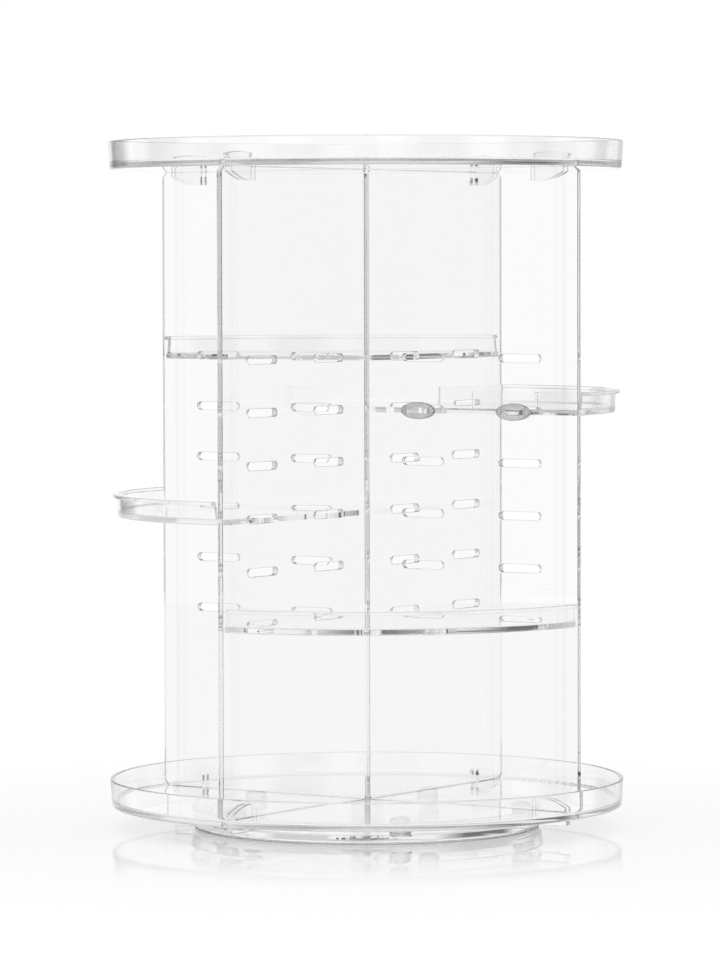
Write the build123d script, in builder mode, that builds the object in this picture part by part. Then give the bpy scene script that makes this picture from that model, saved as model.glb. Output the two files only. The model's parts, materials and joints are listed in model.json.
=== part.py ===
from build123d import *

import os

# Rotating makeup organizer: two round trays joined by two crossed panels, with a quarter-round
# shelf hung in each corner, turning on a shallow round base. Millimetres, Z up, turning about Z.

# Base
base_radius = 79.2              # outside of the base's rim, at its top
base_draft = 1.1                # the base is this much smaller in radius at its underside
base_wall = 1.8
base_floor = 2.4
ring_setback = 0.9              # from the base's lower edge in to the non-slip ring
ring_width = 6.2
ring_thickness = 1.0
base_foot_step = 0.6            # raised land that the non-slip ring is stuck to
base_depth = 3.6                # from the base's floor to its rim
base_edge_round = 0.5
turntable_gap = 2.1             # from the base's rim to the underside of the bottom tray

# Pivot
pivot_radius = 4.9
pivot_clearance = 0.06
pivot_post_radius = 7.45
pivot_end_play = 0.25
running_gap = 0.3
recess_radius = 9.0
recess_depth = 1.4
washer_radius = 8.0
washer_thickness = 0.6
screw_radius = 1.5
screw_fit = 0.05
screw_length = 6.4
screw_head_radius = 3.25
screw_head_height = 1.4
screw_cross_length = 3.6
screw_cross_width = 0.9
screw_cross_depth = 0.8
screw_head_round = 0.7

# Glue and seating
glue_film = 0.05                # under the non-slip ring, the glide pads, the washer and the screw's head
panel_seat_gap = 0.08           # between a panel's long edges and the trays

# Glide pads between the base and the bottom tray
glide_count = 5
glide_radius = 4.7
glide_rim_gap = 1.6             # from a pad to the foot of the base's rim
glide_dome_height = 1.7
glide_pocket_depth = 0.4
glide_pocket_fit = 0.1
glide_gap = 0.2
first_glide_angle = -44.0

# Trays
tray_radius = 115.0             # outside of the rim, at its top
tray_draft = 0.7
tray_height = 12.6
tray_wall = 1.9
tray_floor = 2.4
tray_bottom_round = 1.2
tray_inner_round = 1.4
rim_round = 0.6

# Panels
panel_thickness = 2.7
panel_height = 281.8
panel_tray_gap = 0.3
panel_corner = 2.0
panel_edge_round = 0.4          # along the edges of the panels' broad faces and of their slots
slit_clearance = 0.15
slit_mouth_round = 2.0
slit_overlap_gap = 5.8          # window left between the ends of the two slits

# Slots for the shelves, in rows counted from the top
slot_length = 21.1
slot_height = 3.6
slot_inner_centre = 30.9
slot_outer_margin = 30.3        # from the panel's side edge in to the outer slots' centres
slot_rows = 6
slot_pitch = 23.05
lowest_slot_height = 83.0       # from the bottom tray's floor to the middle of the lowest row

# Snap tabs at the panels' ends, and the fins that guide them
snap_margin = 14.5              # from the panel's side edge in to a tab's centre
snap_neck_length = 16.0
snap_head_length = 18.0
snap_head_height = 3.6
snap_head_crown = 0.7
snap_head_lift = 0.5
snap_slot_fit = 0.2
fin_inner_reach = 8.6           # from the tab's centre to the fins' inner and outer ends
fin_outer_reach = 7.9
fin_height = 6.0
fin_tip_height = 2.0
fin_thickness = 1.5
fin_curve_reach = 2.1           # a point that the fins' curved edge runs through
fin_curve_height = 4.7
fin_panel_gap = 0.15

# Shelves
shelf_setback = 3.3             # from the trays' outside in to the shelves' lip
shelf_draft = 0.4
shelf_floor = 2.35
shelf_height = 10.2
shelf_wall = 1.6
shelf_flange = 1.8
shelf_flange_thickness = 1.7
shelf_panel_gap = 0.5
shelf_seat_gap = 0.1
shelf_apex_round = 5.0
lip_end_setback = 0.7
lip_end_slant = 1.5
shelf_foot_round = 0.8
shelf_inner_round = 0.95
shelf_lip_round = 0.5
shelf_flange_round = 0.4        # under the flange's outer edge
shelf_tab_width = 11.2
shelf_tab_reach = 3.0           # how far a tab stands out of the panel's far face
shelf_tab_round = 2.2
inner_tab_offset = 0.8          # how far the tabs' centres lie inside the slots' centres
outer_tab_offset = 1.8

# Side walls and divider of the right-hand shelf, and the rings that lock it
side_wall_length = 56.2
side_wall_thickness = 1.5
divider_setback = 23.1          # from the lip in to the divider
locked_tab_reach = 4.1
lock_ring_length = 17.4
lock_ring_height = 7.6
lock_ring_thickness = 3.0
lock_ring_fit = 0.15
lock_ring_panel_gap = 0.3
lock_ring_round = 1.1

# Tolerance for picking corners by height, and how far a cut runs past what it cuts
pick_tolerance = 0.01
cut_margin = 1.0

# Heights worked out from the sizes above
land_z = ring_thickness + glue_film
base_floor_z = land_z + base_foot_step
base_floor_top = base_floor_z + base_floor
base_rim_top = base_floor_top + base_depth
carousel_z = base_rim_top + turntable_gap
panel_z = carousel_z + tray_floor + panel_seat_gap
panel_top = panel_z + panel_height
top_tray_z = panel_top + panel_seat_gap
recess_top = base_floor_z + recess_depth
pivot_end_z = recess_top - pivot_end_play
slit_width = panel_thickness + slit_clearance
panel_half_width = tray_radius - tray_draft - tray_wall - panel_tray_gap
panel_face = panel_thickness / 2
slot_centres = (slot_inner_centre, panel_half_width - slot_outer_margin)
snap_centre = panel_half_width - snap_margin
fin_start = snap_centre - fin_inner_reach
fin_end = snap_centre + fin_outer_reach
shelf_radius = tray_radius - shelf_setback
shelf_tab_centres = (slot_centres[0] - inner_tab_offset, slot_centres[1] - outer_tab_offset)
side_wall_start = shelf_radius - side_wall_length
divider_position = shelf_radius - divider_setback
slit_middle = panel_z + panel_height / 2
snap_slot_width = panel_thickness + 2 * fin_panel_gap

os.makedirs("parts", exist_ok=True)


def save(piece, name):
    """Label a finished piece and write it as its own node."""
    piece.part.label = name
    export_step(piece.part, f"parts/{name}.step")


def corners_at(sketch, height):
    """Corners of a profile that lie at one height, from the inside out."""
    low = height - pick_tolerance
    high = height + pick_tolerance
    return sketch.vertices().filter_by_position(Axis.Y, low, high).sort_by(Axis.X)


def slot_centre_z(row):
    """Height of the middle of a row of slots. Row 1 is the top one."""
    return panel_z + lowest_slot_height + (slot_rows - row) * slot_pitch


# Non-slip ring under the base
base_low_radius = base_radius - base_draft
ring_outer_radius = base_low_radius - ring_setback
ring_inner_radius = ring_outer_radius - ring_width
with BuildPart() as non_slip_ring:
    with BuildSketch():
        Circle(ring_outer_radius)
        Circle(ring_inner_radius, mode=Mode.SUBTRACT)
    extrude(amount=ring_thickness)
save(non_slip_ring, "non_slip_ring")


# Base dish, with the pivot's bearing tube in the middle
bore_radius = pivot_radius + pivot_clearance
glide_circle = base_low_radius - base_wall - glide_rim_gap - glide_radius
tube_top = carousel_z - running_gap
with BuildPart() as base_dish:
    with BuildSketch(Plane.XZ) as base_profile:
        with BuildLine():
            Polyline(
                (bore_radius, recess_top),
                (recess_radius, recess_top),
                (recess_radius, base_floor_z),
                (ring_inner_radius, base_floor_z),
                (ring_inner_radius, land_z),
                (ring_outer_radius, land_z),
                (ring_outer_radius, base_floor_z),
                (base_low_radius, base_floor_z),
                (base_radius, base_rim_top),
                (base_radius - base_wall, base_rim_top),
                (base_low_radius - base_wall, base_floor_top),
                (pivot_post_radius, base_floor_top),
                (pivot_post_radius, tube_top),
                (bore_radius, tube_top),
                close=True,
            )
        make_face()
        fillet(corners_at(base_profile, base_rim_top), base_edge_round)
        fillet(corners_at(base_profile, base_floor_z)[-1], base_edge_round)
    revolve(axis=Axis.Z)
    with BuildSketch(Plane.XY.offset(base_floor_top)):
        with PolarLocations(glide_circle, glide_count, start_angle=first_glide_angle):
            Circle(glide_radius + glide_pocket_fit)
    extrude(amount=-glide_pocket_depth, mode=Mode.SUBTRACT)
save(base_dish, "base_dish")


# Domed glide pads that carry the bottom tray
pad_bottom = base_floor_top - glide_pocket_depth + glue_film
pad_top = carousel_z - glide_gap
pad_shoulder = pad_top - glide_dome_height
dome_radius = (glide_radius**2 + glide_dome_height**2) / (2 * glide_dome_height)
pad_places = PolarLocations(glide_circle, glide_count, start_angle=first_glide_angle)
for number, place in enumerate(pad_places, 1):
    with BuildPart() as glide_pad:
        with BuildSketch(Plane(place.position, x_dir=(1, 0, 0), z_dir=(0, -1, 0))):
            with BuildLine():
                Polyline(
                    (0, pad_top),
                    (0, pad_bottom),
                    (glide_radius, pad_bottom),
                    (glide_radius, pad_shoulder),
                )
                RadiusArc((glide_radius, pad_shoulder), (0, pad_top), -dome_radius)
            make_face()
        revolve(axis=Axis(place.position, (0, 0, 1)))
    save(glide_pad, f"glide_pad_{number}")


def tray_body(bottom_z):
    """Round tray with a drafted wall, turned from its cross-section."""
    low_radius = tray_radius - tray_draft
    floor_top = bottom_z + tray_floor
    rim_top = bottom_z + tray_height
    with BuildSketch(Plane.XZ) as profile:
        with BuildLine():
            Polyline(
                (0, bottom_z),
                (low_radius, bottom_z),
                (tray_radius, rim_top),
                (tray_radius - tray_wall, rim_top),
                (low_radius - tray_wall, floor_top),
                (0, floor_top),
                close=True,
            )
        make_face()
        fillet(corners_at(profile, rim_top), rim_round)
        fillet(corners_at(profile, bottom_z)[-1], tray_bottom_round)
        fillet(corners_at(profile, floor_top)[-1], tray_inner_round)
    revolve(profile.sketch, axis=Axis.Z)


def snap_slots(bottom_z):
    """Four slots through a tray's floor for the panels' snap tabs."""
    with BuildSketch(Plane.XY.offset(bottom_z)) as slots:
        with PolarLocations(snap_centre, 4):
            Rectangle(snap_neck_length + 2 * snap_slot_fit, snap_slot_width)
    extrude(slots.sketch, amount=tray_floor, mode=Mode.SUBTRACT)


def guide_fins(face_z, up):
    """Pairs of curved fins that stand on a tray's face, one each side of every snap slot."""
    for angle in (0, 90, 180, 270):
        radial = Vector(1, 0, 0).rotate(Axis.Z, angle)
        across = Vector(0, -1, 0).rotate(Axis.Z, angle)
        for side in (-1, 1):
            middle = side * (snap_slot_width / 2 + fin_thickness / 2)
            fin_plane = Plane(across * middle + Vector(0, 0, face_z), x_dir=radial, z_dir=across)
            with BuildSketch(fin_plane) as fin:
                with BuildLine():
                    Polyline(
                        (fin_end, up * fin_tip_height),
                        (fin_end, -up * tray_floor / 2),
                        (fin_start, -up * tray_floor / 2),
                        (fin_start, up * fin_height),
                    )
                    ThreePointArc(
                        (fin_start, up * fin_height),
                        (snap_centre + fin_curve_reach, up * fin_curve_height),
                        (fin_end, up * fin_tip_height),
                    )
                make_face()
            extrude(fin.sketch, amount=fin_thickness / 2, both=True)


# Bottom tray, with the pivot pin under its floor
with BuildPart() as bottom_tray:
    tray_body(carousel_z)
    snap_slots(carousel_z)
    guide_fins(carousel_z + tray_floor, 1)
    with BuildSketch(Plane.XY.offset(pivot_end_z)):
        Circle(pivot_radius)
    extrude(amount=carousel_z - pivot_end_z)
    with BuildSketch(Plane.XY.offset(pivot_end_z)):
        Circle(screw_radius + screw_fit)
    extrude(amount=screw_length, mode=Mode.SUBTRACT)
save(bottom_tray, "bottom_tray")


# Top tray
with BuildPart() as top_tray:
    tray_body(top_tray_z)
    snap_slots(top_tray_z)
    guide_fins(top_tray_z, -1)
save(top_tray, "top_tray")


# Washer and screw that hold the pivot pin in the base
washer_z = pivot_end_z - glue_film - washer_thickness
with BuildPart() as pivot_washer:
    with BuildSketch(Plane.XY.offset(washer_z)):
        Circle(washer_radius)
        Circle(screw_radius + 2 * screw_fit, mode=Mode.SUBTRACT)
    extrude(amount=washer_thickness)
save(pivot_washer, "pivot_washer")

head_top = washer_z - glue_film
head_z = head_top - screw_head_height
with BuildPart() as pivot_screw:
    with BuildSketch(Plane.XY.offset(head_z)):
        Circle(screw_head_radius)
    extrude(amount=screw_head_height)
    fillet(pivot_screw.edges().sort_by(Axis.Z)[0], screw_head_round)
    with BuildSketch(Plane.XY.offset(head_top)):
        Circle(screw_radius)
    extrude(amount=screw_length)
    with BuildSketch(Plane.XY.offset(head_z)):
        Rectangle(screw_cross_length, screw_cross_width)
        Rectangle(screw_cross_width, screw_cross_length)
    extrude(amount=screw_cross_depth, mode=Mode.SUBTRACT)
save(pivot_screw, "pivot_screw")


def snap_tab(side, end):
    """Neck and barbed head at a panel's top (end 1) or bottom (end -1), on one side of the axis."""
    edge_z = panel_top if end > 0 else panel_z
    neck_height = tray_floor + snap_head_lift
    head_low = edge_z + end * neck_height
    head_high = head_low + end * (snap_head_height - snap_head_crown)
    centre = side * snap_centre
    half = snap_head_length / 2
    with Locations((centre, edge_z + end * (neck_height - tray_floor) / 2)):
        Rectangle(snap_neck_length, neck_height + tray_floor)
    with BuildLine() as head:
        Polyline(
            (centre - half, head_high),
            (centre - half + snap_head_crown, head_low),
            (centre + half - snap_head_crown, head_low),
            (centre + half, head_high),
        )
        ThreePointArc(
            (centre - half, head_high),
            (centre, head_high + end * snap_head_crown),
            (centre + half, head_high),
        )
    make_face(head.edges())


def panel_outline(slit_opens):
    """Outline of a panel with its slots, snap tabs and half slit, open at the top (1) or bottom (-1)."""
    open_edge = panel_top if slit_opens > 0 else panel_z
    slit_end = slit_middle - slit_opens * slit_overlap_gap / 2
    slit_height = abs(open_edge - slit_end) - slit_width / 2
    with BuildSketch(Plane.XY) as body:
        with Locations((0, slit_middle)):
            Rectangle(2 * panel_half_width, panel_height)
        chamfer(body.vertices(), panel_corner)
        with Locations((0, open_edge - slit_opens * slit_height / 2)):
            Rectangle(slit_width, slit_height, mode=Mode.SUBTRACT)
        mouth = corners_at(body, open_edge).filter_by_position(Axis.X, -slit_width, slit_width)
        fillet(mouth, slit_mouth_round)
        with Locations((0, slit_end + slit_opens * slit_width / 2)):
            Circle(slit_width / 2, mode=Mode.SUBTRACT)
        for side in (-1, 1):
            for end in (-1, 1):
                snap_tab(side, end)
            for centre in slot_centres:
                with Locations([(side * centre, slot_centre_z(row)) for row in range(1, slot_rows + 1)]):
                    SlotOverall(slot_length, slot_height, mode=Mode.SUBTRACT)
    return body.sketch


def round_outline(panel, across):
    """Round every edge of a panel's two broad faces, its slots' edges with them."""
    broad_faces = panel.faces().filter_by(across).sort_by(SortBy.AREA)[-2:]
    fillet(broad_faces.edges(), panel_edge_round)


# Panel from left to right, slit from its top edge
with BuildPart() as cross_panel:
    with BuildSketch(Plane.XZ):
        add(panel_outline(1))
    extrude(amount=panel_face, both=True)
    round_outline(cross_panel, Axis.Y)
save(cross_panel, "cross_panel")

# Panel from front to back, slit from its bottom edge
with BuildPart() as through_panel:
    with BuildSketch(Plane.YZ):
        add(panel_outline(-1))
    extrude(amount=panel_face, both=True)
    round_outline(through_panel, Axis.X)
save(through_panel, "through_panel")


# Shelves, modelled in the corner between +X and +Y with the floor's underside at zero
shelf_edge = panel_face + shelf_panel_gap


def shelf_tray():
    """Quarter-round floor with a flanged lip round its curved edge."""
    flange_z = shelf_height - shelf_flange_thickness
    low_radius = shelf_radius - shelf_draft
    with BuildSketch(Plane.XZ) as profile:
        with BuildLine():
            Polyline(
                (0, 0),
                (low_radius, 0),
                (shelf_radius, flange_z),
                (shelf_radius + shelf_flange, flange_z),
                (shelf_radius + shelf_flange, shelf_height),
                (shelf_radius - shelf_wall, shelf_height),
                (low_radius - shelf_wall, shelf_floor),
                (0, shelf_floor),
                close=True,
            )
        make_face()
        fillet(corners_at(profile, 0)[-1], shelf_foot_round)
        fillet(corners_at(profile, shelf_floor)[-1], shelf_inner_round)
        fillet(corners_at(profile, shelf_height), shelf_lip_round)
        fillet(corners_at(profile, flange_z)[-1], shelf_flange_round)
    revolve(profile.sketch, axis=Axis.Z, revolution_arc=90)
    split(bisect_by=Plane.YZ.offset(shelf_edge), keep=Keep.TOP)
    split(bisect_by=Plane.XZ.offset(-shelf_edge), keep=Keep.BOTTOM)


def lip_ends():
    """Cut the lip back from the panels, a little more at its top."""
    foot = shelf_edge + lip_end_setback
    for plane in (Plane.XZ, Plane.YZ):
        with BuildSketch(plane) as end_cut:
            with BuildLine():
                Polyline(
                    (0, shelf_floor),
                    (foot, shelf_floor),
                    (foot + lip_end_slant, shelf_height + cut_margin),
                    (0, shelf_height + cut_margin),
                    close=True,
                )
            make_face()
        extrude(end_cut.sketch, amount=2 * shelf_radius, both=True, mode=Mode.SUBTRACT)


def shelf_tabs(along, reach):
    """Two tabs that go through a panel's slots. They lie on the edge beside +X or beside +Y."""
    tip = panel_face + reach
    root = shelf_edge + shelf_floor
    plane = Plane.XY if along == "X" else Plane((0, 0, 0), x_dir=(0, 1, 0), z_dir=(0, 0, -1))
    with BuildSketch(plane) as tabs:
        with Locations(*[(centre, (root - tip) / 2) for centre in shelf_tab_centres]):
            Rectangle(shelf_tab_width, root + tip)
        fillet(tabs.vertices().group_by(Axis.Y if along == "X" else Axis.X)[0], shelf_tab_round)
    extrude(tabs.sketch, amount=shelf_floor, dir=(0, 0, 1))


def side_walls():
    """Walls beside the panels over the outer half of the floor, and one divider out to the lip."""
    reach = shelf_radius - shelf_wall / 2
    inner = shelf_edge + lip_end_setback
    with BuildSketch(Plane.XY.offset(shelf_floor)) as walls:
        with Locations((side_wall_start, inner)):
            Rectangle(reach - side_wall_start, side_wall_thickness, align=(Align.MIN, Align.MIN))
        with Locations((inner, side_wall_start)):
            Rectangle(side_wall_thickness, reach - side_wall_start, align=(Align.MIN, Align.MIN))
        with Locations((divider_position, inner)):
            Rectangle(side_wall_thickness, reach, align=(Align.CENTER, Align.MIN))
        Circle(reach, mode=Mode.INTERSECT)
    extrude(walls.sketch, amount=shelf_height - shelf_floor)


def place_shelf(piece, row, quarter_turns, name):
    """Turn a shelf to its corner, lift it onto its row of slots and save it."""
    seat_z = slot_centre_z(row) - slot_height / 2 + shelf_seat_gap
    with BuildPart() as placed:
        add(piece.part.rotate(Axis.Z, 90 * quarter_turns).translate((0, 0, seat_z)))
    save(placed, name)


with BuildPart() as plain_shelf:
    shelf_tray()
    apex = plain_shelf.edges().filter_by(Axis.Z).sort_by_distance((0, 0, 0))[0]
    fillet(apex, shelf_apex_round)
    lip_ends()
    for edge_name in ("X", "Y"):
        shelf_tabs(edge_name, shelf_tab_reach)

for shelf_name, shelf_row, turns in (("shelf_back", 1, 1), ("shelf_left", 4, 2), ("shelf_front", 6, 3)):
    place_shelf(plain_shelf, shelf_row, turns, shelf_name)

right_row = 2
with BuildPart() as walled_shelf:
    shelf_tray()
    apex = walled_shelf.edges().filter_by(Axis.Z).sort_by_distance((0, 0, 0))[0]
    fillet(apex, shelf_apex_round)
    lip_ends()
    shelf_tabs("X", locked_tab_reach)
    shelf_tabs("Y", shelf_tab_reach)
    side_walls()
place_shelf(walled_shelf, right_row, 0, "shelf_right")


# Soft rings pushed over the right-hand shelf's tabs, in front of the panel
tab_middle_z = slot_centre_z(right_row) - slot_height / 2 + shelf_seat_gap + shelf_floor / 2
ring_back = panel_face + lock_ring_panel_gap
for ring_name, centre in zip(("lock_ring_inner", "lock_ring_outer"), shelf_tab_centres):
    with BuildPart() as lock_ring:
        with BuildSketch(Plane.XZ.offset(ring_back)):
            with Locations((centre, tab_middle_z)):
                Ellipse(lock_ring_length / 2, lock_ring_height / 2)
        extrude(amount=lock_ring_thickness)
        fillet(lock_ring.edges(), lock_ring_round)
        with BuildSketch(Plane.XZ.offset(ring_back)):
            with Locations((centre, tab_middle_z)):
                RectangleRounded(
                    shelf_tab_width + 2 * lock_ring_fit,
                    shelf_floor + 2 * lock_ring_fit,
                    lock_ring_fit,
                )
        extrude(amount=lock_ring_thickness, mode=Mode.SUBTRACT)
    save(lock_ring, ring_name)
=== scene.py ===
import json
import math

import bpy
from mathutils import Matrix, Vector


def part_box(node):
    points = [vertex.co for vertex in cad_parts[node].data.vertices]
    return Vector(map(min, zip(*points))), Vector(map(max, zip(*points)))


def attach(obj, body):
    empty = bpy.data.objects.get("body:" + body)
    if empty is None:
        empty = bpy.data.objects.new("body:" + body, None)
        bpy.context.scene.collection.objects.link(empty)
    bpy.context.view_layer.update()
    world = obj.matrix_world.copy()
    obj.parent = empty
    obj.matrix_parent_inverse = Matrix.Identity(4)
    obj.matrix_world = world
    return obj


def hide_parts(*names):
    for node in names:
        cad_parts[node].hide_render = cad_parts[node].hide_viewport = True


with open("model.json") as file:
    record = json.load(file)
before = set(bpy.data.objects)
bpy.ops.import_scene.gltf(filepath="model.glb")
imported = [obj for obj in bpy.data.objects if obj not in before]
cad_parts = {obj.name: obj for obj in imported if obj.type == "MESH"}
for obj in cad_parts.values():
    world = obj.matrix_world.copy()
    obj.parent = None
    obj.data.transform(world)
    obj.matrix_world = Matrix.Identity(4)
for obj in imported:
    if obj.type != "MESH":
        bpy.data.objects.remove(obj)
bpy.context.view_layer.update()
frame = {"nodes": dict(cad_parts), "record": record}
nodes = frame["nodes"]

# Camera, in metres and degrees, from the photograph's own perspective
CAMERA_AZIMUTH = math.radians(34.2)
CAMERA_DISTANCE = 2.247
EYE_HEIGHT = 0.2502
AIM_HEIGHT = 0.1553
AIM_LEFT = 0.0028
CAMERA_ROLL = math.radians(-0.13)
LENS = 188.3
SENSOR = 36.0

# Surroundings, seen in gloss and through the plastic: white fields round the object, one of them on the
# photograph's own line of sight, with pale or dark walls between them, and a dimmer upper part.
# Each row of WALLS is a turn from the Y axis in degrees and the level there
WALLS = (
    (0.0, 1.0), (7.0, 1.0), (11.0, 0.7), (38.5, 0.7), (41.0, 1.0), (50.0, 1.0), (60.0, 0.12), (76.0, 0.12),
    (84.0, 1.0), (90.0, 1.0),
)
MAIN_FULL = 8.0
MAIN_END = 12.0
OVERHEAD_LEVEL = 0.7
OVERHEAD_START = 10.0
OVERHEAD_END = 26.0
SOFT_LIGHT = 0.9

# How round pieces are cut finer. Distances are in metres and angles in radians: how far a straight step may
# lie inside the curve, a fillet's largest step, how near a point lies to the arc or line that it belongs to,
# how far past an arc's end it may lie, and the widest turn of an edge that is cut
ROUND_ERROR = 0.00001
FILLET_STEP = math.radians(16)
ARC_FIT = 0.00003
ARC_END = 0.03
LARGEST_SWING = 0.12
# How often an edge may be halved
CUTS = 4

# Turned cross-sections, in millimetres: rows of radius, height over the underside, and rounding
TRAY_HEIGHT = 12.6
TRAY_SECTION = (
    (0, 0, 0), (114.3, 0, 1.2), (115, TRAY_HEIGHT, 0.6), (113.1, TRAY_HEIGHT, 0.6), (112.4, 2.4, 1.4),
    (0, 2.4, 0),
)
SHELF_SECTION = (
    (0, 0, 0), (111.3, 0, 0.8), (111.7, 8.5, 0), (113.5, 8.5, 0.4), (113.5, 10.2, 0.5), (110.1, 10.2, 0.5),
    (109.7, 2.35, 0.95), (0, 2.35, 0),
)
BASE_HEIGHT = 6
BASE_SECTION = (
    (0, 0, 0), (78.1, 0, 0.5), (79.2, BASE_HEIGHT, 0.5), (77.4, BASE_HEIGHT, 0.5), (76.3, 2.4, 0), (0, 2.4, 0),
)
SHELVES = ("shelf_right", "shelf_back", "shelf_left", "shelf_front")

# Noise lies mostly between these values
NOISE_LOW = 0.3
NOISE_HIGH = 0.7

# The clear plastic: noise in features a metre, stretched upright, and depths in metres
PLASTIC_IOR = 1.57
PLASTIC_ABSORBED = 0.5
PLASTIC_DENSITY = 1.6
FLOW_SCALE = 9.0
FLOW_STRETCH = (1.0, 1.0, 0.35)
FLOW_TINT = (0.991, 0.999)
SCUFF_SCALE = 260.0
SCUFF_STRETCH = (1.0, 1.0, 0.2)
SCUFF_FROM = 0.52
SCUFF_FULL = 0.72
SCUFF_ROUGHNESS = 0.03
WORN_SCALE = 22.0
WORN_FROM = 0.4
WORN_FULL = 0.65
WORN_LEAST = 0.2
WAVE_SCALE = 26.0
WAVE_DEPTH = 0.00002
RIPPLE_SCALE = 110.0
RIPPLE_STRETCH = (1.0, 1.0, 0.3)
RIPPLE_DEPTH = 0.000002

# Painted shade on the panels: upright bands of darker colour for the darker surroundings that the panels' side
# edges refract and reflect; nearest and furthest distance in from the side edge, and how clear
PANEL_SHADE_BANDS = ((0.0066, 0.0087, 0.93), (0.0105, 0.0122, 0.94))
SHADE_BAND_FADE = 0.0008
# A painted dark line near the through panel's side edges, for the shade that its rounded edge refracts: nearest
# and furthest distance in, and how clear
EDGE_SHADE_LINE = (0.003, 0.0036, 0.9)
EDGE_SHADE_FADE = 0.0003

# Soft and waxy plastics: their colour and roughness vary over a range, and clear is the share of light let
# through; the grain is in features a metre, and its depth in metres
CLOUD_SCALE = 180.0
SHEEN_SCALE = 420.0
MILKY = {
    "ring_silicone": {
        "colour": (0.92, 0.97), "clear": 0.75, "ior": 1.41, "rough": (0.3, 0.4), "grain": 900.0,
        "depth": 0.000006,
    },
    "non_slip_rubber": {
        "colour": (0.9, 0.96), "clear": 0.95, "ior": 1.45, "rough": (0.4, 0.6), "grain": 1400.0,
        "depth": 0.00002,
    },
    "glide_plastic": {
        "colour": (0.93, 0.98), "clear": 0.95, "ior": 1.5, "rough": (0.25, 0.45), "grain": 700.0,
        "depth": 0.00001,
    },
}

# The pivot's steel
STEEL_COLOUR = (0.56, 0.66)
STEEL_ROUGH = (0.16, 0.3)
STEEL_PATCHES = 600.0
TURNING_SCALE = 9000.0
TURNING_ROUGH = 0.14
TURNING_DEPTH = 0.00002

# Floor: its colour and shade are for the camera, which FLOOR_LIFT brightens; gloss and the clear plastic see
# it even, at FAR_FLOOR_LEVEL far out and at FLOOR_THROUGH through the plastic
FLOOR_RADIUS = 1.5
FLOOR_STEPS = 96
FLOOR_DROP = 0.00005
NEAR_FLOOR = 0.15
FAR_FLOOR = 0.3
FAR_FLOOR_LEVEL = 0.75
FLOOR_THROUGH = 0.95
FLOOR_COLOUR = 0.5
FLOOR_LIFT = 0.57
MIRROR_SHARE = 0.85
MIRROR_FULL = 0.11
MIRROR_NONE = 0.24
MIRROR_IOR = 1.5
MIRROR_ROUGHNESS = 0.0

LIGHT_BOUNCES = 80


def cosine(degrees):
    return math.cos(math.radians(degrees))


def link(tree, start, end):
    tree.links.new(start, end)


def value_node(tree, operation, first, second=None):
    """A Math node with sockets or plain numbers for its inputs; gives its output socket."""
    node = tree.nodes.new("ShaderNodeMath")
    node.operation = operation
    for place, given in enumerate((first, second)):
        if given is None:
            continue
        if isinstance(given, (int, float)):
            node.inputs[place].default_value = given
        else:
            link(tree, given, node.inputs[place])
    return node.outputs[0]


def ramp(tree, given, low, high, start, end):
    """Smooth change from start to end while the given value goes from low to high; gives a socket."""
    node = tree.nodes.new("ShaderNodeMapRange")
    node.interpolation_type = "SMOOTHSTEP"
    link(tree, given, node.inputs["Value"])
    for name, number in (("From Min", low), ("From Max", high), ("To Min", start), ("To Max", end)):
        node.inputs[name].default_value = number
    return node.outputs["Result"]


def spread(tree, given, ends):
    """A noise's usual range laid over a range of values; gives a socket."""
    return ramp(tree, given, NOISE_LOW, NOISE_HIGH, ends[0], ends[1])


def mix_value(tree, factor, first, second):
    """A value between two others; gives a socket."""
    node = tree.nodes.new("ShaderNodeMix")
    link(tree, factor, node.inputs["Factor"])
    for name, given in (("A", first), ("B", second)):
        if isinstance(given, (int, float)):
            node.inputs[name].default_value = given
        else:
            link(tree, given, node.inputs[name])
    return node.outputs["Result"]


def wall_level(tree, x, y):
    """How bright the surroundings are in the direction of x and y; gives a socket."""
    turn = value_node(tree, "ARCTAN2", x, y)
    folded = value_node(tree, "ARCCOSINE", value_node(tree, "ABSOLUTE", value_node(tree, "COSINE", turn)))
    stops = tree.nodes.new("ShaderNodeValToRGB")
    link(tree, value_node(tree, "DIVIDE", folded, math.pi / 2), stops.inputs[0])
    elements = stops.color_ramp.elements
    while len(elements) > 1:
        elements.remove(elements[-1])
    elements[0].position = 0.0
    elements[0].color = (1.0, 1.0, 1.0, 1.0)
    for angle, level in WALLS[1:]:
        element = elements.new(angle / 90)
        element.color = (level, level, level, 1.0)
    aside = value_node(tree, "COSINE", value_node(tree, "ADD", turn, CAMERA_AZIMUTH))
    main = ramp(tree, aside, cosine(MAIN_END), cosine(MAIN_FULL), 0.0, 1.0)
    return value_node(tree, "MAXIMUM", stops.outputs["Color"], main)


def make_world():
    """White for the camera, soft light on rough faces, fields and walls in gloss and through plastic."""
    world = bpy.data.worlds.new("studio")
    bpy.context.scene.world = world
    world.use_nodes = True
    tree = world.node_tree
    tree.nodes.clear()
    place = tree.nodes.new("ShaderNodeTexCoord").outputs["Generated"]
    split = tree.nodes.new("ShaderNodeSeparateXYZ")
    link(tree, place, split.inputs[0])
    x, y, z = split.outputs
    around = wall_level(tree, x, y)
    upper = ramp(tree, z, math.sin(math.radians(OVERHEAD_START)), math.sin(math.radians(OVERHEAD_END)), 1.0,
                 OVERHEAD_LEVEL)
    seen = value_node(tree, "MULTIPLY", around, upper)
    rays = tree.nodes.new("ShaderNodeLightPath")
    through = value_node(tree, "MAXIMUM", rays.outputs["Is Glossy Ray"], rays.outputs["Is Transmission Ray"])
    level = mix_value(tree, through, SOFT_LIGHT, seen)
    level = mix_value(tree, rays.outputs["Is Camera Ray"], level, 1.0)
    background = tree.nodes.new("ShaderNodeBackground")
    background.inputs["Color"].default_value = (1.0, 1.0, 1.0, 1.0)
    link(tree, level, background.inputs["Strength"])
    output = tree.nodes.new("ShaderNodeOutputWorld")
    link(tree, background.outputs[0], output.inputs["Surface"])


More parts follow.
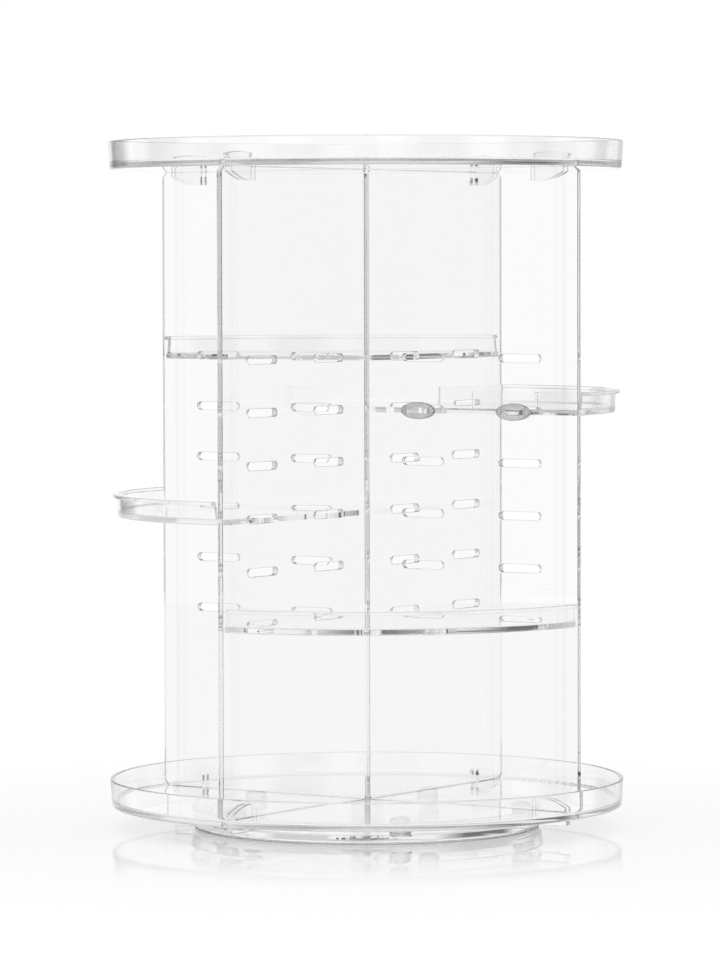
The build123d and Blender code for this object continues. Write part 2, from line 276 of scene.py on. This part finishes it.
def make_floor():
    """Pale floor: lit and shaded for the camera, even in gloss and through plastic, a faint mirror near by."""
    mesh = bpy.data.meshes.new("floor")
    turns = [2 * math.pi * k / FLOOR_STEPS for k in range(FLOOR_STEPS)]
    rim = [(FLOOR_RADIUS * math.cos(turn), FLOOR_RADIUS * math.sin(turn), 0) for turn in turns]
    mesh.from_pydata(rim, [], [list(range(FLOOR_STEPS))])
    floor = bpy.data.objects.new("floor", mesh)
    bpy.context.scene.collection.objects.link(floor)
    floor.location.z = -FLOOR_DROP
    material = bpy.data.materials.new("floor")
    material.use_nodes = True
    tree = material.node_tree
    tree.nodes.clear()
    place = tree.nodes.new("ShaderNodeNewGeometry").outputs["Position"]
    length = tree.nodes.new("ShaderNodeVectorMath")
    length.operation = "LENGTH"
    link(tree, place, length.inputs[0])
    mirror = ramp(tree, length.outputs["Value"], MIRROR_FULL, MIRROR_NONE, MIRROR_SHARE, 0.0)
    fresnel = tree.nodes.new("ShaderNodeFresnel")
    fresnel.inputs["IOR"].default_value = MIRROR_IOR
    amount = value_node(tree, "MULTIPLY", mirror, fresnel.outputs[0])
    diffuse = tree.nodes.new("ShaderNodeBsdfDiffuse")
    diffuse.inputs["Color"].default_value = (FLOOR_COLOUR, FLOOR_COLOUR, FLOOR_COLOUR, 1.0)
    rays = tree.nodes.new("ShaderNodeLightPath")
    lift = tree.nodes.new("ShaderNodeEmission")
    lift_level = value_node(tree, "MULTIPLY", rays.outputs["Is Camera Ray"], FLOOR_LIFT)
    link(tree, lift_level, lift.inputs["Strength"])
    lifted = tree.nodes.new("ShaderNodeAddShader")
    link(tree, diffuse.outputs[0], lifted.inputs[0])
    link(tree, lift.outputs[0], lifted.inputs[1])
    near = ramp(tree, length.outputs["Value"], NEAR_FLOOR, FAR_FLOOR, 1.0, 0.0)
    in_gloss = mix_value(tree, near, FAR_FLOOR_LEVEL, 1.0)
    level = mix_value(tree, rays.outputs["Is Transmission Ray"], in_gloss, FLOOR_THROUGH)
    even = tree.nodes.new("ShaderNodeEmission")
    link(tree, level, even.inputs["Strength"])
    base = tree.nodes.new("ShaderNodeMixShader")
    through = value_node(tree, "MAXIMUM", rays.outputs["Is Transmission Ray"], rays.outputs["Is Glossy Ray"])
    link(tree, through, base.inputs[0])
    link(tree, lifted.outputs[0], base.inputs[1])
    link(tree, even.outputs[0], base.inputs[2])
    gloss = tree.nodes.new("ShaderNodeBsdfGlossy")
    gloss.inputs["Color"].default_value = (1.0, 1.0, 1.0, 1.0)
    gloss.inputs["Roughness"].default_value = MIRROR_ROUGHNESS
    mixed = tree.nodes.new("ShaderNodeMixShader")
    link(tree, amount, mixed.inputs[0])
    link(tree, base.outputs[0], mixed.inputs[1])
    link(tree, gloss.outputs[0], mixed.inputs[2])
    output = tree.nodes.new("ShaderNodeOutputMaterial")
    link(tree, mixed.outputs[0], output.inputs["Surface"])
    mesh.materials.append(material)


def make_camera():
    """The photograph's own viewing angle."""
    data = bpy.data.cameras.new("camera")
    camera = bpy.data.objects.new("camera", data)
    bpy.context.scene.collection.objects.link(camera)
    data.lens = LENS
    data.sensor_width = SENSOR
    right = Vector((math.cos(CAMERA_AZIMUTH), math.sin(CAMERA_AZIMUTH), 0))
    back = Vector((math.sin(CAMERA_AZIMUTH), -math.cos(CAMERA_AZIMUTH), 0))
    aim = Vector((0, 0, AIM_HEIGHT)) - AIM_LEFT * right
    camera.location = back * CAMERA_DISTANCE + Vector((0, 0, EYE_HEIGHT)) - AIM_LEFT * right
    look = (aim - camera.location).to_track_quat("-Z", "Y").to_matrix().to_4x4()
    camera.matrix_world = Matrix.Translation(camera.location) @ look @ Matrix.Rotation(CAMERA_ROLL, 4, "Z")
    data.clip_start = 0.1
    data.clip_end = 20.0
    bpy.context.scene.camera = camera


def noise(tree, place, scale, detail=2.0, stretch=None):
    """Noise from 0 to 1 at so many features a metre, on a piece's own coordinates; gives a socket."""
    texture = tree.nodes.new("ShaderNodeTexNoise")
    texture.inputs["Scale"].default_value = scale
    texture.inputs["Detail"].default_value = detail
    if stretch:
        mapping = tree.nodes.new("ShaderNodeMapping")
        mapping.inputs["Scale"].default_value = stretch
        link(tree, place, mapping.inputs["Vector"])
        place = mapping.outputs["Vector"]
    link(tree, place, texture.inputs["Vector"])
    return texture.outputs["Fac"]


def bumped(tree, height, depth, under=None):
    """A normal that follows a height from 0 to 1 over so many metres; gives a socket."""
    node = tree.nodes.new("ShaderNodeBump")
    node.inputs["Distance"].default_value = depth
    link(tree, height, node.inputs["Height"])
    if under is not None:
        link(tree, under, node.inputs["Normal"])
    return node.outputs["Normal"]


def grey(tree, level):
    """The same level in all three channels; gives a colour socket."""
    node = tree.nodes.new("ShaderNodeCombineColor")
    for name in ("Red", "Green", "Blue"):
        link(tree, level, node.inputs[name])
    return node.outputs["Color"]


def start_material(name):
    """A new material with its Principled shader and output, and its piece's own coordinates."""
    material = bpy.data.materials.new(name)
    material.use_nodes = True
    tree = material.node_tree
    tree.nodes.clear()
    shader = tree.nodes.new("ShaderNodeBsdfPrincipled")
    output = tree.nodes.new("ShaderNodeOutputMaterial")
    link(tree, shader.outputs[0], output.inputs["Surface"])
    place = tree.nodes.new("ShaderNodeTexCoord").outputs["Object"]
    return material, tree, shader, output, place


def distance_out(tree, place):
    """Distance from the turning axis; gives a socket."""
    split = tree.nodes.new("ShaderNodeSeparateXYZ")
    link(tree, place, split.inputs[0])
    flat = tree.nodes.new("ShaderNodeCombineXYZ")
    link(tree, split.outputs["X"], flat.inputs["X"])
    link(tree, split.outputs["Y"], flat.inputs["Y"])
    length = tree.nodes.new("ShaderNodeVectorMath")
    length.operation = "LENGTH"
    link(tree, flat.outputs[0], length.inputs[0])
    return length.outputs["Value"]


def clear_plastic(name, half_width=None, edge_shade_line=False):
    """Polished clear styrene: faint flow marks and waviness from the mould, and fine scuffs.

    A panel's half width adds painted shade in soft upright bands inside its two side edges, and the edge flag
    adds a thin painted dark line there, for the darker surroundings that the edges refract and reflect.
    """
    material, tree, shader, output, place = start_material(name)
    shader.inputs["IOR"].default_value = PLASTIC_IOR
    shader.inputs["Transmission Weight"].default_value = 1.0
    tint_and_shade = spread(tree, noise(tree, place, FLOW_SCALE, 3.0, FLOW_STRETCH), FLOW_TINT)
    # Painted shade: the bands below darken the colour near a panel's side edges, in place of the refraction and
    # reflection there
    if half_width:
        out = distance_out(tree, place)
        shade_bands = [shade_band + (SHADE_BAND_FADE,) for shade_band in PANEL_SHADE_BANDS]
        if edge_shade_line:
            shade_bands.append(EDGE_SHADE_LINE + (EDGE_SHADE_FADE,))
        for near, far, level, fade in shade_bands:
            start, end = half_width - far, half_width - near
            rise = ramp(tree, out, start, start + fade, 1.0, level)
            fall = ramp(tree, out, end - fade, end, level, 1.0)
            tint_and_shade = value_node(tree, "MULTIPLY", tint_and_shade, value_node(tree, "MAXIMUM", rise, fall))
    link(tree, grey(tree, tint_and_shade), shader.inputs["Base Color"])
    scuffs = ramp(tree, noise(tree, place, SCUFF_SCALE, 4.0, SCUFF_STRETCH), SCUFF_FROM, SCUFF_FULL, 0.0,
                  SCUFF_ROUGHNESS)
    worn = ramp(tree, noise(tree, place, WORN_SCALE), WORN_FROM, WORN_FULL, WORN_LEAST, 1.0)
    link(tree, value_node(tree, "MULTIPLY", scuffs, worn), shader.inputs["Roughness"])
    wave = bumped(tree, noise(tree, place, WAVE_SCALE, 1.0), WAVE_DEPTH)
    ripple = noise(tree, place, RIPPLE_SCALE, 1.0, RIPPLE_STRETCH)
    link(tree, bumped(tree, ripple, RIPPLE_DEPTH, wave), shader.inputs["Normal"])
    volume = tree.nodes.new("ShaderNodeVolumeAbsorption")
    volume.inputs["Color"].default_value = (PLASTIC_ABSORBED, PLASTIC_ABSORBED, PLASTIC_ABSORBED, 1.0)
    volume.inputs["Density"].default_value = PLASTIC_DENSITY
    link(tree, volume.outputs[0], output.inputs["Volume"])
    return material


def milky(name, colour, clear, ior, rough, grain, depth):
    """Translucent soft or waxy plastic: cloudy colour, uneven sheen and a fine moulded grain."""
    material, tree, shader, output, place = start_material(name)
    shader.inputs["IOR"].default_value = ior
    shader.inputs["Transmission Weight"].default_value = clear
    cloud = noise(tree, place, CLOUD_SCALE, 4.0)
    link(tree, grey(tree, spread(tree, cloud, colour)), shader.inputs["Base Color"])
    link(tree, spread(tree, noise(tree, place, SHEEN_SCALE, 3.0), rough), shader.inputs["Roughness"])
    link(tree, bumped(tree, noise(tree, place, grain, 3.0), depth), shader.inputs["Normal"])
    return material


def turned_steel(name):
    """Plated steel with fine marks turned round the pivot, and a few duller patches."""
    material, tree, shader, output, place = start_material(name)
    shader.inputs["Metallic"].default_value = 1.0
    out = distance_out(tree, place)
    rings = tree.nodes.new("ShaderNodeTexNoise")
    rings.noise_dimensions = "1D"
    rings.inputs["Scale"].default_value = TURNING_SCALE
    rings.inputs["Detail"].default_value = 2.0
    link(tree, out, rings.inputs["W"])
    patches = noise(tree, place, STEEL_PATCHES, 3.0)
    link(tree, grey(tree, spread(tree, patches, STEEL_COLOUR)), shader.inputs["Base Color"])
    turned = value_node(tree, "MULTIPLY", rings.outputs["Fac"], TURNING_ROUGH)
    both = value_node(tree, "ADD", turned, spread(tree, patches, STEEL_ROUGH))
    link(tree, both, shader.inputs["Roughness"])
    link(tree, bumped(tree, rings.outputs["Fac"], TURNING_DEPTH), shader.inputs["Normal"])
    return material


def around_axis(vector, angle):
    """A vector in the turned frame whose first axis points out from the turning axis at that angle."""
    c, s = math.cos(angle), math.sin(angle)
    return Vector((c * vector[0] + s * vector[1], -s * vector[0] + c * vector[1], vector[2]))


def corner_arcs(profile):
    """Centre, radius, middle direction and half width of the arc at each rounded corner of a section.

    The section is a closed row of (radius, height, rounding) in millimetres; the arcs are in metres.
    """
    arcs = []
    for k, (r, z, rounding) in enumerate(profile):
        if rounding == 0:
            continue
        corner = Vector((r, z))
        before = (Vector(profile[k - 1][:2]) - corner).normalized()
        after = (Vector(profile[(k + 1) % len(profile)][:2]) - corner).normalized()
        half = before.angle(after) / 2
        inward = (before + after).normalized()
        centre = corner + inward * rounding / math.sin(half)
        middle = math.atan2(-inward.y, -inward.x)
        arcs.append((centre.x / 1000, centre.y / 1000, rounding / 1000, middle, math.pi / 2 - half))
    return arcs


def smooth_round(name, body, profile):
    """The node's mesh once more, its turned surfaces cut finer and laid on the true curves.

    The profile is the turned cross-section. Its fillets get true arcs and normals, and the walls between
    them true circles; every other face keeps its place and the CAD's own normals.
    """
    source = nodes[name].data
    arcs = corner_arcs(profile)
    ends = [Vector(point[:2]) / 1000 for point in profile]
    lines = [(start, (end - start).normalized()) for start, end in zip(ends, ends[1:]) if start.y != end.y]
    turns = []
    radii = []
    heights = []
    for vertex in source.vertices:
        turns.append(math.atan2(vertex.co.y, vertex.co.x))
        radii.append(math.hypot(vertex.co.x, vertex.co.y))
        heights.append(vertex.co.z)

    def on_arc(place, arc):
        """The point's direction from the arc's middle where it lies on the arc, or None."""
        r, z = radii[place] - arc[0], heights[place] - arc[1]
        if abs(math.hypot(r, z) - arc[2]) > ARC_FIT:
            return None
        aside = (math.atan2(z, r) - arc[3] + math.pi) % (2 * math.pi) - math.pi
        return aside if abs(aside) < arc[4] + ARC_END else None

    def on_line(places, start, way):
        """Whether all the points lie on a straight line of the section."""
        return all(abs((radii[k] - start.x) * way.y - (heights[k] - start.y) * way.x) < ARC_FIT for k in places)

    asides = [[on_arc(place, arc) for arc in arcs] for place in range(len(turns))]
    faces = []
    for face in source.polygons:
        places = list(face.vertices)
        middle = sum((source.vertices[place].co for place in places), Vector()) / len(places)
        normal = around_axis(face.normal, math.atan2(middle.y, middle.x))
        kind = "own"
        if abs(normal[2]) > 0.9995:
            kind = "flat"
        elif abs(normal[1]) < 0.06:
            for start, way in lines:
                if on_line(places, start, way):
                    kind = ("line", way.y, -way.x)
        if abs(normal[1]) < 0.5:
            for which, arc in enumerate(arcs):
                found = [asides[place][which] for place in places]
                if None not in found and max(found) - min(found) > 0.02:
                    sign = 1 if math.cos(arc[3]) * normal[0] + math.sin(arc[3]) * normal[2] > 0 else -1
                    kind = (arc, sign)
        corners = []
        for k, place in zip(face.loop_indices, places):
            if kind == "own":
                given = around_axis(source.corner_normals[k].vector, turns[place])
            elif kind == "flat":
                given = Vector((0, 0, math.copysign(1, normal[2])))
            else:
                given = Vector((kind[1], 0, kind[2])) if kind[0] == "line" else normal
            corners.append((place, given))
        faces.append((kind, corners))

    def half_way(kind, a, b):
        """Turn, radius and height half way along an edge of a turned face, or None where it needs no cut."""
        swing = (turns[b] - turns[a] + math.pi) % (2 * math.pi) - math.pi
        if abs(swing) > LARGEST_SWING:
            return None
        wide = swing * swing * min(radii[a], radii[b]) > 8 * ROUND_ERROR
        if kind[0] == "line":
            if not wide:
                return None
            return turns[a] + swing / 2, (radii[a] + radii[b]) / 2, (heights[a] + heights[b]) / 2
        arc = kind[0]
        first, second = (math.atan2(heights[k] - arc[1], radii[k] - arc[0]) - arc[3] for k in (a, b))
        first, second = ((value + math.pi) % (2 * math.pi) - math.pi for value in (first, second))
        if not wide and abs(second - first) < FILLET_STEP:
            return None
        direction = arc[3] + (first + second) / 2
        out, up = math.cos(direction), math.sin(direction)
        return turns[a] + swing / 2, arc[0] + arc[2] * out, arc[1] + arc[2] * up

    for _ in range(CUTS):
        cut = {}
        seen = set()
        for kind, corners in faces:
            if kind in ("own", "flat"):
                continue
            for k in range(3):
                a, b = corners[k][0], corners[k - 1][0]
                key = (a, b) if a < b else (b, a)
                if key in cut or (key, kind) in seen:
                    continue
                seen.add((key, kind))
                found = half_way(kind, a, b)
                if found:
                    cut[key] = len(turns)
                    turns.append(found[0])
                    radii.append(found[1])
                    heights.append(found[2])
        finer = []
        for kind, corners in faces:
            halves = []
            for k in range(3):
                (a, normal_a), (b, normal_b) = corners[k], corners[(k + 1) % 3]
                place = cut.get((a, b) if a < b else (b, a))
                halves.append(None if place is None else (place, (normal_a + normal_b).normalized()))
            count = 3 - halves.count(None)
            if count == 3:
                finer += [(kind, (corners[k], halves[k], halves[k - 1])) for k in range(3)]
                finer.append((kind, tuple(halves)))
            elif count == 2:
                k = halves.index(None)
                start, end, tip = corners[k], corners[(k + 1) % 3], corners[(k + 2) % 3]
                right, left = halves[(k + 1) % 3], halves[(k + 2) % 3]
                finer.append((kind, (right, tip, left)))
                finer.append((kind, (start, end, right)))
                finer.append((kind, (start, right, left)))
            elif count == 1:
                k = next(k for k in range(3) if halves[k] is not None)
                start, end, tip = corners[k], corners[(k + 1) % 3], corners[(k + 2) % 3]
                finer += [(kind, (start, halves[k], tip)), (kind, (halves[k], end, tip))]
            else:
                finer.append((kind, corners))
        faces = finer

    normals = []
    for kind, corners in faces:
        for place, normal in corners:
            if isinstance(kind[0], tuple):
                arc, sign = kind
                normal = sign * Vector((radii[place] - arc[0], 0, heights[place] - arc[1])).normalized()
            normals.append(around_axis(normal, -turns[place]))
    points = [(r * math.cos(turn), r * math.sin(turn), z) for turn, r, z in zip(turns, radii, heights)]
    mesh = bpy.data.meshes.new(name + "_fine")
    mesh.from_pydata(points, [], [[corner[0] for corner in corners] for kind, corners in faces])
    for face in mesh.polygons:
        face.use_smooth = True
    mesh.normals_split_custom_set(normals)
    piece = bpy.data.objects.new(name + "_fine", mesh)
    bpy.context.scene.collection.objects.link(piece)
    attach(piece, body)
    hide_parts(name)
    return piece


def raised(section, underside):
    """The cross-section at its place, in millimetres."""
    return [(r, underside + height, rounding) for r, height, rounding in section]


def give(piece, material):
    """The material in place of all that the piece has."""
    piece.data.materials.clear()
    piece.data.materials.append(material)


make_world()
make_floor()
make_camera()

plastic = clear_plastic("clear_plastic")
panel_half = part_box("cross_panel")[1][0]
finish = {
    "cross_panel": clear_plastic("clear_plastic_cross", panel_half),
    "through_panel": clear_plastic("clear_plastic_through", panel_half, True),
    "pivot_steel": turned_steel("pivot_steel"),
}
for name, values in MILKY.items():
    finish[name] = milky(name, **values)

groups = frame["record"]["behaviour"]["bodies"]
bodies = {name: body for body, members in groups.items() for name in members}
sections = {
    "bottom_tray": raised(TRAY_SECTION, 1000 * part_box("bottom_tray")[1][2] - TRAY_HEIGHT),
    "top_tray": raised(TRAY_SECTION, 1000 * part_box("top_tray")[1][2] - TRAY_HEIGHT),
    "base_dish": raised(BASE_SECTION, 1000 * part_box("base_dish")[1][2] - BASE_HEIGHT),
}
for name in SHELVES:
    sections[name] = raised(SHELF_SECTION, 1000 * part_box(name)[0][2])
for name, section in sections.items():
    give(smooth_round(name, bodies[name], section), plastic)

for entry in frame["record"]["subparts"]:
    name, slot = entry["node"], entry["material_slot"]
    give(nodes[name], finish.get(name) or finish.get(slot, plastic))

scene = bpy.context.scene
scene.view_settings.view_transform = "Standard"
scene.cycles.max_bounces = LIGHT_BOUNCES
scene.cycles.transmission_bounces = LIGHT_BOUNCES
scene.cycles.glossy_bounces = LIGHT_BOUNCES
